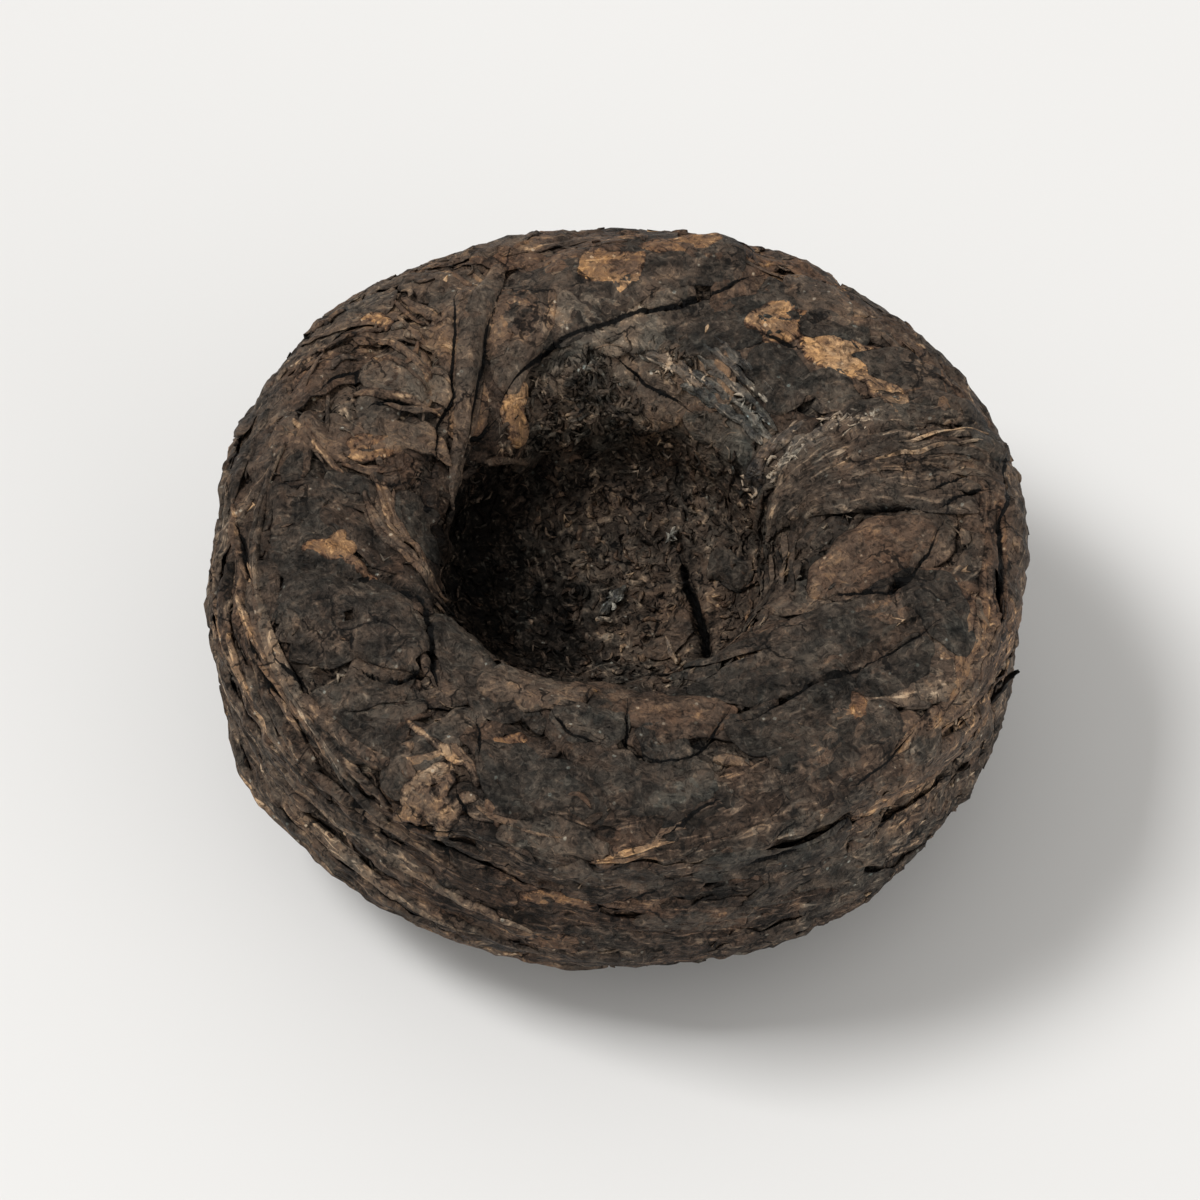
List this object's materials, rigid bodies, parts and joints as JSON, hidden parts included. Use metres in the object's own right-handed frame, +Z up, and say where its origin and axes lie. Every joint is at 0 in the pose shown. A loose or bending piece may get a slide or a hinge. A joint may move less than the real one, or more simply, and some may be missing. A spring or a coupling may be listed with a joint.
{
  "type": "pressed tea nest",
  "caption": "Small dome of compressed dark tea leaf with a deep round hollow in its top, one brewing portion that rests on its rounded underside",
  "frame": {"origin": "on the ground, at the middle of the flat spot that the nest rests on", "axes": "+Z up out of the hollow's mouth, +X to the flap of leaf that curls into the hollow, -Y to the viewer"},
  "size_m": [0.0273, 0.0268, 0.0128],
  "materials": {
    "pressed_leaf": "dry matt pressed leaf, dark brown with tan and orange flakes"
  },
  "bodies": {
    "root": {"pressed_tea": "pressed_leaf"}
  },
  "joints": []
}
